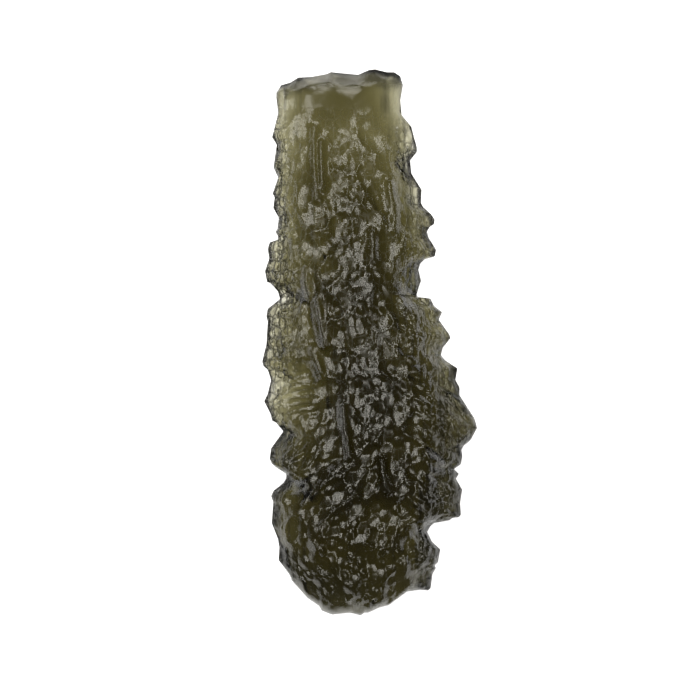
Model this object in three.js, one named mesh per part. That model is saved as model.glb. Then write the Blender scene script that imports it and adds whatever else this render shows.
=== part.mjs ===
import * as THREE from "three";

// A moldavite: one piece of natural green glass, lying on its back.
// Millimetres. +X is across the stone, +Y runs towards its broken end, +Z is up,
// and the origin is on the resting plane under the middle of the stone.
// "Along" is measured from the tip of the rounded end, "across" from the middle of the width.

const LENGTH = 40; // rounded end to broken end
const MID_PLANE = 0.42; // height of the thin rim, as a share of the core's thickness
const BREAK_SLOPE = 0.95; // length over which the flat break at the upper end slants down
const BREAK_WAVE = { share: 0.6, across: 1.1 }; // that length wanders by this share
const BREAK_EDGE = 0.5; // height of the break's edge, as a share of the thickness there
const BREAK_BELLY = 0.8; // length over which the back curves up to that edge
const ROUNDING = 0.5; // length over which the front curves down to the rounded end
const BELLY_ROUNDING = 1.2; // and over which the back curves up to it
const RIM_RADIUS = 0.32; // rounding of the side edges in front
const BELLY_SHARE = 0.36; // rounding of the side edges behind, as a share of the rim's thickness
const EDGE_LIFT = 0.65; // height of the edge above the rim's middle, as a share of its half
const LEAST_HALF = 0.2; // least half thickness, behind the rim
const LEAST_FRONT = 0.12; // softness of the least height of the front over the edge
const SPINE_REACH = 6; // how fast a spine fades inwards, as a power of the width
const END_REACH = 6; // the same for the curve of the two ends, as a power of the length
const CHIP_REACH = 14; // and for the small chips on them
const EDGE_SMOOTHING = 0.045; // share of a side over which the spines are averaged away
const SPINE_SMOOTHING = 0.01; // the same, over which a spine's ridge keeps its height

// The outline. The sides are [along, across], from the broken end down: each spine is a tip
// between two bays. The ends are [across, along], from left to right.
const RIGHT_SIDE = [
  [39.5, 2.25], [38.85, 2.45], [37.75, 2.25], [36.65, 2.35], [35.8, 3.05], [34.25, 3.45], [33.9, 3.45],
  [33.3, 2.95], [32.35, 3.05], [31.15, 3.8], [30.2, 3.75], [29.9, 3.9], [29.35, 4.5],
  [28.95, 4.75], [28.6, 4.7], [28.45, 4.4], [28.1, 4.2], [27.65, 4.3], [26.75, 4.85],
  [26.25, 4.75], [26.05, 4.0], [25.75, 3.7], [25.3, 3.55], [24.5, 3.75], [23.4, 3.4],
  [23.3, 3.55], [23.25, 4.0], [23.2, 4.45], [22.65, 4.7], [22.2, 5.3], [21.65, 5.05],
  [20.6, 5.8], [20.3, 5.9], [19.6, 5.35], [19.05, 5.2], [18.65, 5.55], [18.1, 6.4],
  [17.25, 6.25], [16.7, 6.55], [16.15, 6.55], [14.45, 7.65], [13.75, 7.85], [12.85, 7.35],
  [12.45, 6.85], [12.15, 6.7], [11.65, 6.75], [11.1, 6.65], [10.75, 6.15], [10.4, 6.5],
  [10.05, 6.3], [9.25, 6.75], [8.3, 6.6], [7.4, 6.65], [7.2, 6.45], [7.2, 6.05],
  [7.0, 5.8], [6.8, 4.7], [6.6, 4.45], [6.15, 4.2], [5.45, 4.55], [4.9, 5.15],
  [3.95, 5.0], [3.7, 4.75], [3.5, 4.85], [3.1, 4.6], [2.0, 4.45], [1.85, 4.25],
];
const LEFT_SIDE = [
  [38.85, -6.5], [38.3, -6.85], [37.9, -6.85], [36.8, -6.7], [35.0, -7.15], [34.45, -6.8],
  [32.8, -7.05], [32.05, -6.7],
  [30.85, -7.1], [30.6, -6.95], [29.8, -7.05], [29.1, -6.65], [28.3, -6.75], [28.05, -6.9],
  [27.75, -6.7], [27.5, -6.7], [27.3, -7.3], [26.85, -7.45], [26.1, -7.35], [25.2, -7.65],
  [24.4, -7.5], [24.3, -7.25], [23.7, -6.7], [23.15, -6.55], [22.45, -7.45], [21.9, -7.55],
  [21.5, -7.45], [19.8, -7.55], [18.6, -7.85], [18.25, -7.75], [18.0, -7.45], [17.25, -7.2],
  [16.2, -7.45], [15.7, -7.7], [14.8, -7.25], [14.25, -7.1], [14.15, -6.85], [13.5, -6.3],
  [12.25, -7.2], [11.5, -7.3], [11.15, -7.15], [10.85, -6.8], [10.4, -6.1], [10.1, -6.1],
  [9.75, -6.3], [9.2, -7.0], [8.8, -7.2], [8.35, -7.05], [6.8, -7.15], [5.65, -6.7],
  [5.05, -6.6], [4.1, -6.65],
];
const BROKEN_END = [
  [-6.5, 38.85], [-5.8, 39.05], [-5.25, 39.4], [-4.25, 39.45],
  [-3.15, 39.65], [-2.85, 39.8], [-0.85, 39.6], [-0.05, 39.95], [0.4, 40.0], [1.25, 39.8],
  [1.8, 39.8], [2.25, 39.5],
];
const ROUNDED_END = [
  [-6.65, 4.1], [-5.9, 3.1], [-5.65, 2.55], [-4.55, 1.3], [-3.7, 0.7], [-3.5, 0.35],
  [-2.75, 0.05], [-1.45, 0.2], [-0.65, 0.0], [-0.4, 0.2], [-0.1, 0.2], [0.75, 0.6],
  [1.35, 0.75], [2.65, 1.75], [3.7, 1.9], [4.25, 1.85],
];

// The thick core between the two thin rims: [along, left edge, right edge], and its thickness.
const CORE = [
  [0, -4.2, 2.8], [1.8, -4.7, 3.5], [4.8, -6.0, 4.0], [8.4, -6.0, 4.9], [12.1, -5.0, 5.4],
  [15.8, -4.2, 4.9], [19.4, -4.4, 3.9], [23.1, -4.8, 3.2], [26.8, -5.1, 2.8], [30.4, -5.6, 2.6],
  [34.1, -5.7, 2.1], [38, -5.7, 1.2], [40, -5.7, 1.1],
];
const CORE_POWER = 4; // how squarely the front rises from the rims
const BACK_POWER = 2.2; // the same for the back, which is rounder
const FLANGE = 2.6; // width of the thin rim, from the side edge to where the core is full
const THICKNESS = [
  [0, 3.2], [2, 4.4], [5, 5.3], [9, 5.7], [14, 5.8], [20, 5.5], [26, 4.8], [32, 3.9],
  [36, 3.1], [40, 2.8],
];
// Thickness of the rim itself, behind its rounded edge: [along, left, right].
const RIM = [
  [0, 1.2, 1.1], [3, 1.5, 1.2], [6, 1.6, 1.2], [9, 1.5, 1.4], [12, 1.2, 1.3], [15, 1.1, 1.3],
  [20, 1.1, 1.1], [23.5, 0.9, 1.0], [26.5, 0.9, 1.0], [30, 1.0, 1.0], [33.5, 1.0, 0.9],
  [37, 1.0, 0.9], [40, 1.0, 0.9],
];
const SPINE_RIDGE = 0.5; // how much thicker the rim is on a spine, and thinner in a bay
const SPINE_HEIGHT = 0.6; // reach of a spine or bay, out or in, that gets all of that
const RIM_WAVE = { height: 0.3, across: 3, along: 2.4 }; // the rims wander up and down

// Pits: shallow bowls with flat floors, in columns that follow the flow of the glass. They
// share sharp crests, and each floor leans its own way.
const PIT_WIDTH = 1.3;
const PIT_LENGTH = 1.7;
const PIT_DEPTH = 0.26;
const PIT_DEPTHS = [0.6, 1.25]; // least and most of a pit's own share of that depth
const PIT_SIZES = [0.75, 1.25]; // and of its size
const PIT_FLOOR = 2.2; // power of the bowl: 2 is round, more is flatter
const PIT_LEAN = 0.42; // steepest lean of a floor
const PIT_OVERLAP = 0.72; // half size of a pit, as a share of its spacing
const PIT_WANDER = { across: 0.3, along: 0.6 }; // shares of the spacing that a pit may be off
const PIT_TURN = 0.22; // most that one pit turns at random, in radians
const FLOW_HALF_WIDTH = 4.6; // half width of the core that has as many columns as it is wide
// Turn of the pits in radians for each mm off the middle: [along, left half, right half].
const FAN = [
  [0, -0.15, -0.15], [4, -0.1, -0.1], [6.5, 0, 0], [9, 0.12, 0.12], [13, 0.05, 0.05],
  [17, 0.25, 0.1], [20, 0.1, 0.14], [23, 0.02, 0.05], [27, 0, 0], [40, 0, 0],
];
const SMOOTH_ZONE = [33.8, 37.6]; // stretch below the break where the pits fade out
const SMOOTH_SHARE = 0.15; // what is left of them there
const FLANK_CALM = { front: 0.35, back: 0.7 }; // share of the pits lost on the steep flanks
const LUMPS = { height: 0.16, across: 1.9, along: 2.7 }; // slow swells under the pits

// Long crests, each a line of [across, along] with its height.
const CREST_HALF_WIDTH = 0.36;
const CREST_CALM = 0.75; // share of the pits that a crest takes away
const CRESTS = [
  { height: 0.17, line: [[-4.1, 35.6], [-4.1, 33.0], [-3.9, 30.4]] },
  { height: 0.14, line: [[-3.6, 34.5], [-3.5, 31.2]] },
  { height: 0.18, line: [[1.5, 31.5], [1.9, 29.3], [1.8, 28.2]] },
  { height: 0.18, line: [[-4.7, 25.3], [-4.65, 24.2], [-4.45, 23.3]] },
  { height: 0.2, line: [[-3.9, 23.1], [-3.7, 22.0], [-3.5, 20.9], [-3.3, 19.8]] },
  { height: 0.18, line: [[-4.2, 19.4], [-3.9, 18.7], [-3.6, 17.8]] },
  { height: 0.2, line: [[-1.95, 15.4], [-1.8, 13.9], [-1.65, 12.8], [-1.45, 11.7]] },
  { height: 0.2, line: [[0.85, 11.4], [1.1, 9.9], [1.35, 9.2]] },
  { height: 0.2, line: [[-5.7, 27.6], [-5.4, 25.9]] },
  { height: 0.15, line: [[0.15, 27.9], [0.25, 25.9]] },
];

// Rounded knobs on the rims: [across, along, half width, half length, height].
const KNOBS = [
  [-6.6, 25.2, 1.0, 2.0, 0.05], [-6.4, 20.6, 1.3, 2.2, 0.1], [6.4, 13.8, 1.3, 1.6, 0.3],
  [5.9, 8.8, 0.9, 1.5, 0.35], [4.4, 4.0, 0.8, 1.5, 0.3], [3.7, 27.3, 0.8, 1.4, 0.25],
  [4.6, 20.8, 1.2, 2.0, 0.25],
];

// Deep round hollows: [across, along, half width, half length, depth].
const HOLLOWS = [
  [-2.7, 11.3, 0.9, 0.5, 0.3], [3.85, 12.4, 1.2, 0.5, 0.25], [4.95, 9.7, 0.7, 0.7, 0.3],
  [2.8, 5.4, 0.6, 0.5, 0.35], [-6.3, 23.4, 0.45, 0.6, 0.5],
];

// Worn spots on the back, which are flat and carry the stone: [across, along, radius].
const RESTS = [
  [-0.3, 16.2, 2.3], [-2.6, 9.6, 1.5], [2.4, 10.2, 1.5], [-3.0, 23.6, 1.3], [-1.2, 29.4, 1.4],
];
const BACK_BULGE = 0.8; // how far the rounded back would reach below the worn spots
const BACK_SHARE = 0.65; // depth of the back's pits beside the front's

// Where each random pattern starts, so that no two are alike.
const SEEDS = { wave: 11, lumps: 12, break: 13, front: 20, back: 40 };

// Mesh density: strips across, and rows along.
const STRIPS = 32; // an even number: the back has half as many
const ROWS = 100;
const EDGE_CROWDING = 0.55; // strips crowd towards the two sides
const END_CROWDING = 0.3; // rows crowd towards the two ends

const clamp = (value, low, high) => Math.min(high, Math.max(low, value));
const mix = (a, b, share) => a + (b - a) * share;
const smoothstep = (low, high, value) => {
  const t = clamp((value - low) / (high - low), 0, 1);
  return t * t * (3 - 2 * t);
};

// A smooth line through the rows of a table, read at one place along the stone.
function readTable(table, along, column) {
  const last = table.length - 1;
  let k = 0;
  while (k < last - 1 && along > table[k + 1][0]) k += 1;
  const slope = (i) => {
    const a = Math.max(0, i - 1);
    const b = Math.min(last, i + 1);
    return (table[b][column] - table[a][column]) / (table[b][0] - table[a][0]);
  };
  const step = table[k + 1][0] - table[k][0];
  const t = clamp((along - table[k][0]) / step, 0, 1);
  const rise = t * t * (3 - 2 * t);
  return (
    mix(table[k][column], table[k + 1][column], rise) +
    step * (slope(k) * t * (1 - t) ** 2 - slope(k + 1) * t * t * (1 - t))
  );
}

// A repeatable number from 0 to 1 for each whole-number place.
function hash(i, j, seed) {
  const value = Math.sin(i * 127.1 + j * 311.7 + seed * 74.7) * 43758.5453;
  return value - Math.floor(value);
}

// Smooth noise from -1 to 1.
function noise(x, y, seed) {
  const i = Math.floor(x);
  const j = Math.floor(y);
  const s = smoothstep(0, 1, x - i);
  const t = smoothstep(0, 1, y - j);
  const near = mix(hash(i, j, seed), hash(i + 1, j, seed), s);
  const far = mix(hash(i, j + 1, seed), hash(i + 1, j + 1, seed), s);
  return 2 * mix(near, far, t) - 1;
}

// One side of the outline, as points {x, along} with a running share t from 0 to 1.
function makeSide(points, major) {
  const steps = points.map((point, k) => {
    if (k === 0) return 0;
    const before = points[k - 1];
    const forward = Math.abs(point[major] - before[major]);
    const sideways = Math.abs(point[1 - major] - before[1 - major]);
    return forward + 0.25 * sideways;
  });
  let run = 0;
  const runs = steps.map((step) => (run += step));
  return points.map((point, k) => ({ x: point[0], along: point[1], t: runs[k] / run }));
}

function readSide(side, t) {
  let k = 0;
  while (k < side.length - 2 && t > side[k + 1].t) k += 1;
  const share = clamp((t - side[k].t) / (side[k + 1].t - side[k].t), 0, 1);
  return {
    x: mix(side[k].x, side[k + 1].x, share),
    along: mix(side[k].along, side[k + 1].along, share),
  };
}

// The same side, averaged over a stretch about that place. It keeps its two ends.
function readSmoothSide(side, t, smoothing) {
  const reach = Math.min(smoothing, t, 1 - t);
  const samples = 9;
  let x = 0;
  let along = 0;
  let total = 0;
  for (let k = -samples; k <= samples; k += 1) {
    const weight = 1 - Math.abs(k) / (samples + 1);
    const point = readSide(side, t + (reach * k) / samples);
    x += weight * point.x;
    along += weight * point.along;
    total += weight;
  }
  return { x: x / total, along: along / total };
}

const upwards = (points) => points.map(([along, x]) => [x, along]).reverse();
const leftSide = makeSide(upwards(LEFT_SIDE), 1);
const rightSide = makeSide(upwards(RIGHT_SIDE), 1);
const roundedEnd = makeSide(ROUNDED_END, 0);
const brokenEnd = makeSide(BROKEN_END, 0);

// A place on the stone seen from above: u runs from the left side to the right, v from the
// rounded end to the broken one. The inside is spanned between the smoothed sides, and each
// spine and bay fades out inwards from its own side.
function place(u, v) {
  const smooth = {
    left: readSmoothSide(leftSide, v, EDGE_SMOOTHING),
    right: readSmoothSide(rightSide, v, EDGE_SMOOTHING),
    rounded: readSmoothSide(roundedEnd, u, EDGE_SMOOTHING),
    broken: readSmoothSide(brokenEnd, u, EDGE_SMOOTHING),
  };
  const exact = {
    left: readSide(leftSide, v),
    right: readSide(rightSide, v),
    rounded: readSide(roundedEnd, u),
    broken: readSide(brokenEnd, u),
  };
  const corner = [roundedEnd[0], roundedEnd.at(-1), brokenEnd[0], brokenEnd.at(-1)];
  const fade = {
    left: (1 - u) ** SPINE_REACH,
    right: u ** SPINE_REACH,
    rounded: (1 - v) ** CHIP_REACH,
    broken: v ** CHIP_REACH,
  };
  const span = (axis) =>
    mix(smooth.left[axis], smooth.right[axis], u) +
    (1 - v) ** END_REACH * (smooth.rounded[axis] - mix(corner[0][axis], corner[1][axis], u)) +
    v ** END_REACH * (smooth.broken[axis] - mix(corner[2][axis], corner[3][axis], u));
  const jag = (axis) =>
    Object.keys(fade).reduce((sum, k) => sum + fade[k] * (exact[k][axis] - smooth[k][axis]), 0);
  const width = smooth.right.x - smooth.left.x;
  const height = smooth.broken.along - smooth.rounded.along;
  return {
    x: span("x") + jag("x"),
    along: span("along") + jag("along"),
    fromLeft: u * width,
    fromRight: (1 - u) * width,
    fromRounded: v * height,
    fromBroken: (1 - v) * height,
    leftSpine: smooth.left.x - readSmoothSide(leftSide, v, SPINE_SMOOTHING).x,
    rightSpine: readSmoothSide(rightSide, v, SPINE_SMOOTHING).x - smooth.right.x,
  };
}

// Depth of the pits at one place. The bowls overlap, and the deepest one wins.
function pitDepth(flowX, along, shift) {
  const column = Math.floor(flowX / PIT_WIDTH);
  const row = Math.floor(along / PIT_LENGTH);
  let depth = 0;
  for (let i = column - 2; i <= column + 2; i += 1) {
    for (let j = row - 2; j <= row + 2; j += 1) {
      const chance = (seed) => hash(i, j, shift + seed);
      const stagger = i % 2 === 0 ? 0 : 0.5;
      const centreX = (i + 0.5 + PIT_WANDER.across * (chance(1) - 0.5)) * PIT_WIDTH;
      const centreY = (j + stagger + 0.5 + PIT_WANDER.along * (chance(2) - 0.5)) * PIT_LENGTH;
      const rightShare = smoothstep(-1, 1, centreX);
      const fan = mix(readTable(FAN, centreY, 1), readTable(FAN, centreY, 2), rightShare);
      const turn = PIT_TURN * (2 * chance(3) - 1) + fan * centreX;
      const dx = flowX - centreX;
      const dy = along - centreY;
      const across = dx * Math.cos(turn) + dy * Math.sin(turn);
      const down = dy * Math.cos(turn) - dx * Math.sin(turn);
      const half = PIT_OVERLAP * mix(PIT_SIZES[0], PIT_SIZES[1], chance(4));
      const reach = Math.hypot(across / (half * PIT_WIDTH), down / (half * PIT_LENGTH));
      const deepest = PIT_DEPTH * mix(PIT_DEPTHS[0], PIT_DEPTHS[1], chance(5));
      const bowl = deepest * (1 - reach ** PIT_FLOOR);
      const lean = (2 * chance(6) - 1) * across + (2 * chance(7) - 1) * down;
      depth = Math.max(depth, bowl + PIT_LEAN * lean);
    }
  }
  return depth;
}

function distanceToLine(x, along, line) {
  let best = Infinity;
  for (let k = 0; k < line.length - 1; k += 1) {
    const [ax, ay] = line[k];
    const [bx, by] = line[k + 1];
    const share = clamp(
      ((x - ax) * (bx - ax) + (along - ay) * (by - ay)) / ((bx - ax) ** 2 + (by - ay) ** 2),
      0,
      1,
    );
    best = Math.min(best, Math.hypot(x - mix(ax, bx, share), along - mix(ay, by, share)));
  }
  return best;
}

// Height of the crests at one place, and how near the closest one is, from 0 to 1.
function crestsAt(x, along) {
  const crests = { height: 0, share: 0 };
  for (const crest of CRESTS) {
    const near = Math.exp(-((distanceToLine(x, along, crest.line) / CREST_HALF_WIDTH) ** 2));
    crests.height = Math.max(crests.height, crest.height * near);
    crests.share = Math.max(crests.share, near);
  }
  return crests;
}

// Knobs and hollows are smooth bells.
const sumOfBells = (bells, x, along) =>
  bells.reduce((sum, [cx, cy, rx, ry, height]) => {
    const share = ((x - cx) / rx) ** 2 + ((along - cy) / ry) ** 2;
    return sum + height * Math.exp(-share);
  }, 0);

// Worn spots are 1 in their middle and 0 outside.
const restShare = (x, along) =>
  RESTS.reduce((most, [cx, cy, radius]) => {
    const share = Math.hypot(x - cx, along - cy) / radius;
    return Math.max(most, smoothstep(1, 0.55, share));
  }, 0);

// The quarter-round that closes the section towards one edge.
const roundOff = (distance, radius) => {
  const t = clamp(distance / radius, 0, 1);
  return Math.sqrt(1 - (1 - t) ** 2);
};

// Front and back surface heights at one place of the stone.
function section(u, v) {
  const p = place(u, v);
  const left = readTable(CORE, p.along, 1);
  const right = readTable(CORE, p.along, 2);
  const q = (2 * p.x - left - right) / (right - left); // -1 and 1 at the core's edges
  const flowX = (q * (FLOW_HALF_WIDTH + (right - left) / 2)) / 2;
  const fromSide = Math.min(p.fromLeft, p.fromRight);
  const inland = 1 - (1 - clamp(fromSide / FLANGE, 0, 1)) ** 2;
  const core = inland / (1 + Math.abs(q) ** CORE_POWER);
  const belly = inland / (1 + Math.abs(q) ** BACK_POWER);

  const thickness = readTable(THICKNESS, p.along, 1);
  const rightShare = smoothstep(-0.5, 0.5, q);
  const rim = mix(readTable(RIM, p.along, 1), readTable(RIM, p.along, 2), rightShare);
  const reach = mix(p.leftSpine * (1 - u) ** 2, p.rightSpine * u ** 2, rightShare);
  const half = (rim / 2) * (1 + SPINE_RIDGE * clamp(reach / SPINE_HEIGHT, -1, 1));
  const wave = noise(p.x / RIM_WAVE.across, p.along / RIM_WAVE.along, SEEDS.wave);
  const middle = MID_PLANE * thickness + RIM_WAVE.height * wave * (1 - core);

  const crests = crestsAt(p.x, p.along);
  const calm =
    mix(SMOOTH_SHARE, 1, smoothstep(SMOOTH_ZONE[1], SMOOTH_ZONE[0], p.along)) *
    (1 - CREST_CALM * crests.share);
  const flank = 4 * core * (1 - core); // 1 where the front rises steepest from the rim
  const lumps = LUMPS.height * noise(p.x / LUMPS.across, p.along / LUMPS.along, SEEDS.lumps);
  const knobs = sumOfBells(KNOBS, p.x, p.along);
  const front =
    middle +
    half +
    ((1 - MID_PLANE) * thickness - half) * core +
    calm * (1 - FLANK_CALM.front * flank) * (lumps - pitDepth(flowX, p.along, SEEDS.front)) +
    crests.height +
    knobs -
    sumOfBells(HOLLOWS, p.x, p.along);
  const back =
    middle -
    half -
    (MID_PLANE * thickness - half) * belly +
    BACK_SHARE * calm * (1 - FLANK_CALM.back * flank) * pitDepth(flowX, p.along, SEEDS.back) -
    BACK_SHARE * knobs -
    BACK_BULGE * restShare(p.x, p.along);

  const brokenEdge = mix(back, front, BREAK_EDGE);
  const nearBreak = smoothstep(2 * BREAK_SLOPE, 0, p.fromBroken);
  const edge = mix(middle + EDGE_LIFT * half, brokenEdge, nearBreak);
  const side = roundOff(fromSide, RIM_RADIUS);
  const rounded = roundOff(p.fromRounded, ROUNDING);
  const breakWave = BREAK_WAVE.share * noise(p.x / BREAK_WAVE.across, 0.5, SEEDS.break);
  const slant = BREAK_SLOPE * (1 + breakWave);
  const slope = clamp(p.fromBroken / slant, 0, 1);
  const lift = (front - edge + Math.hypot(front - edge, LEAST_FRONT)) / 2;
  const under = roundOff(fromSide, BELLY_SHARE * rim) * roundOff(p.fromRounded, BELLY_ROUNDING);
  const drop = Math.max(LEAST_HALF, edge - back) * under * roundOff(p.fromBroken, BREAK_BELLY);
  return {
    x: p.x,
    along: p.along,
    front: edge + lift * side * rounded * slope,
    back: Math.max(0, edge - drop),
  };
}

// Shares along one side, one for each step of the mesh, moved so that the sharpest points of
// the outline each fall on a step of their own.
function stepsOn(side, count, crowding) {
  const shares = Array.from({ length: count + 1 }, (_, j) => crowd(j / count, crowding));
  const turnAt = (k) => {
    const [a, b, c] = [side[k - 1], side[k], side[k + 1]];
    const before = Math.atan2(b.along - a.along, b.x - a.x);
    const after = Math.atan2(c.along - b.along, c.x - b.x);
    const turn = Math.abs(after - before);
    return Math.min(turn, 2 * Math.PI - turn);
  };
  const points = side.slice(1, -1).map((point, k) => ({ t: point.t, turn: turnAt(k + 1) }));
  points.sort((a, b) => b.turn - a.turn);
  const taken = new Set([0, count]);
  for (const { t } of points) {
    let step = 1;
    while (step < count && (shares[step] + shares[step + 1]) / 2 < t) step += 1;
    const between = t > shares[step - 1] && t < shares[step + 1];
    if (taken.has(step) || !between) continue;
    taken.add(step);
    shares[step] = t;
  }
  return shares;
}

// Even steps, gathered towards both ends.
function crowd(t, amount) {
  return mix(t, (1 - Math.cos(Math.PI * t)) / 2, amount);
}

// The front has every strip. The back has half as many, and its first and last rows widen to
// meet the front along the two ends.
function makeStone() {
  const leftRows = stepsOn(leftSide, ROWS, END_CROWDING);
  const rightRows = stepsOn(rightSide, ROWS, END_CROWDING);
  const roundedStrips = stepsOn(roundedEnd, STRIPS, EDGE_CROWDING);
  const brokenStrips = stepsOn(brokenEnd, STRIPS, EDGE_CROWDING);
  const front = [];
  const back = [];
  const positions = [];
  const add = (point, z) => positions.push(point.x, point.along - LENGTH / 2, z) / 3 - 1;
  for (let j = 0; j <= ROWS; j += 1) {
    front.push([]);
    back.push([]);
    for (let i = 0; i <= STRIPS; i += 1) {
      const u = mix(roundedStrips[i], brokenStrips[i], crowd(j / ROWS, END_CROWDING));
      const v = mix(leftRows[j], rightRows[j], crowd(i / STRIPS, EDGE_CROWDING));
      const point = section(u, v);
      const onRim = i === 0 || j === 0 || i === STRIPS || j === ROWS;
      front[j].push(add(point, point.front));
      if (onRim) back[j].push(front[j][i]);
      else back[j].push(i % 2 === 0 ? add(point, point.back) : null);
    }
  }
  const faces = [];
  for (let j = 0; j < ROWS; j += 1) {
    for (let i = 0; i < STRIPS; i += 1) {
      const [a, b] = [front[j][i], front[j][i + 1]];
      const [c, d] = [front[j + 1][i + 1], front[j + 1][i]];
      faces.push(a, b, c, a, c, d);
    }
    for (let i = 0; i < STRIPS; i += 2) {
      const [a, b] = [back[j][i], back[j][i + 2]];
      const [c, d] = [back[j + 1][i + 2], back[j + 1][i]];
      const low = back[0][i + 1];
      const high = back[ROWS][i + 1];
      if (j === 0) faces.push(a, d, low, low, d, c, low, c, b);
      else if (j === ROWS - 1) faces.push(a, high, b, a, d, high, b, high, c);
      else faces.push(a, c, b, a, d, c);
    }
  }
  const geometry = new THREE.BufferGeometry();
  geometry.setAttribute("position", new THREE.Float32BufferAttribute(positions, 3));
  geometry.setIndex(faces);
  geometry.computeVertexNormals();
  return geometry;
}

const glass = new THREE.MeshStandardMaterial({ color: 0x4a4624, roughness: 0.25, metalness: 0 });
const stone = new THREE.Mesh(makeStone(), glass);
stone.name = "moldavite";

const part = new THREE.Group();
part.add(stone);

export default part;
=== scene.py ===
import math
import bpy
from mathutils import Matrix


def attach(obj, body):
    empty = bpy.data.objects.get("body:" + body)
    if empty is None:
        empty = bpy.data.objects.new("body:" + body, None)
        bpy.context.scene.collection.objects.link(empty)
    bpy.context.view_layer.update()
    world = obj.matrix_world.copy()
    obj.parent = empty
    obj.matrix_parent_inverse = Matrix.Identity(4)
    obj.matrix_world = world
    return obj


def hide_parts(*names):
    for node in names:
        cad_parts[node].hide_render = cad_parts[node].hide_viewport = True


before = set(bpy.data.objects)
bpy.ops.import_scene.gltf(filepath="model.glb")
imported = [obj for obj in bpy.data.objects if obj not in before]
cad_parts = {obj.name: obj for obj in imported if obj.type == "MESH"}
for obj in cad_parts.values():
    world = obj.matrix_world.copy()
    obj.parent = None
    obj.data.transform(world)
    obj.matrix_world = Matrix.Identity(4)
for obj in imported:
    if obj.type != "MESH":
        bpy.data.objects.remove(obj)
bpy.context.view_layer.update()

from types import SimpleNamespace

import bmesh
import bpy
import numpy as np

# The stone: one piece of natural green glass that froze in flight and was then etched in the
# ground. It lies on its back, and a thin rim of spines and bays runs round a thick pitted core.
# It is grown on a grid that follows the outline, as a front and a back height in millimetres.
LENGTH = 40


def mix(a, b, share):
    return a + (b - a) * share


def smoothstep(low, high, value):
    t = np.clip((value - low) / (high - low), 0, 1)
    return t * t * (3 - 2 * t)


def read_table(table, along, column):
    """A smooth line through the rows of a table, read along the stone."""
    rows = np.array(table, float)
    stops, value = rows[:, 0], rows[:, column]
    count = len(stops)
    before = np.maximum(np.arange(count) - 1, 0)
    after = np.minimum(np.arange(count) + 1, count - 1)
    slope = (value[after] - value[before]) / (stops[after] - stops[before])
    k = np.clip(np.searchsorted(stops, along, side="left") - 1, 0, count - 2)
    step = stops[k + 1] - stops[k]
    t = np.clip((along - stops[k]) / step, 0, 1)
    rise = t * t * (3 - 2 * t)
    bend = slope[k] * t * (1 - t) ** 2 - slope[k + 1] * t * t * (1 - t)
    return mix(value[k], value[k + 1], rise) + step * bend


CHANCE_STEPS = (127.1, 311.7, 74.7)
CHANCE_STRETCH = 43758.5453


def chance(i, j, seed):
    """A repeatable number from 0 to 1 for each whole-number place."""
    across, down, apart = CHANCE_STEPS
    value = np.sin(i * across + j * down + seed * apart) * CHANCE_STRETCH
    return value - np.floor(value)


def noise(x, y, seed):
    """Smooth noise from -1 to 1."""
    i, j = np.floor(x), np.floor(y)
    s, t = smoothstep(0, 1, x - i), smoothstep(0, 1, y - j)
    near = mix(chance(i, j, seed), chance(i + 1, j, seed), s)
    far = mix(chance(i, j + 1, seed), chance(i + 1, j + 1, seed), s)
    return 2 * mix(near, far, t) - 1


def wave(kind, x, along):
    """Noise of one kind: its height, its spacing across and along the stone, and its seed."""
    height, across, down, seed = kind
    return height * noise(x / across, along / down, seed)


# The outline. The sides run down from the broken end as (along, across), the ends from left to
# right as (across, along). Along is measured from the tip of the rounded end.
RIGHT_SIDE = [
    (39.5, 2.25), (38.85, 2.45), (37.75, 2.25), (36.65, 2.35), (35.8, 3.05), (34.25, 3.45),
    (33.9, 3.45), (33.3, 2.95), (32.35, 3.05), (31.15, 3.8), (30.2, 3.75), (29.9, 3.9),
    (29.35, 4.5), (28.95, 4.75), (28.6, 4.7), (28.45, 4.4), (28.1, 4.2), (27.65, 4.3),
    (26.75, 4.85), (26.25, 4.75), (26.05, 4.0), (25.75, 3.7), (25.3, 3.55), (24.5, 3.75),
    (23.4, 3.4), (23.3, 3.55), (23.25, 4.0), (23.2, 4.45), (22.65, 4.7), (22.2, 5.3),
    (21.65, 5.05), (20.6, 5.8), (20.3, 5.9), (19.6, 5.35), (19.05, 5.2), (18.65, 5.55),
    (18.1, 6.4), (17.25, 6.25), (16.7, 6.55), (16.15, 6.55), (14.45, 7.65), (13.75, 7.85),
    (12.85, 7.35), (12.45, 6.85), (12.15, 6.7), (11.65, 6.75), (11.1, 6.65), (10.75, 6.15),
    (10.4, 6.5), (10.05, 6.3), (9.25, 6.75), (8.3, 6.6), (7.4, 6.65), (7.2, 6.45),
    (7.2, 6.05), (7.0, 5.8), (6.8, 4.7), (6.6, 4.45), (6.15, 4.2), (5.45, 4.55), (4.9, 5.15),
    (3.95, 5.0), (3.7, 4.75), (3.5, 4.85), (3.1, 4.6), (2.0, 4.45), (1.85, 4.25),
]
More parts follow.
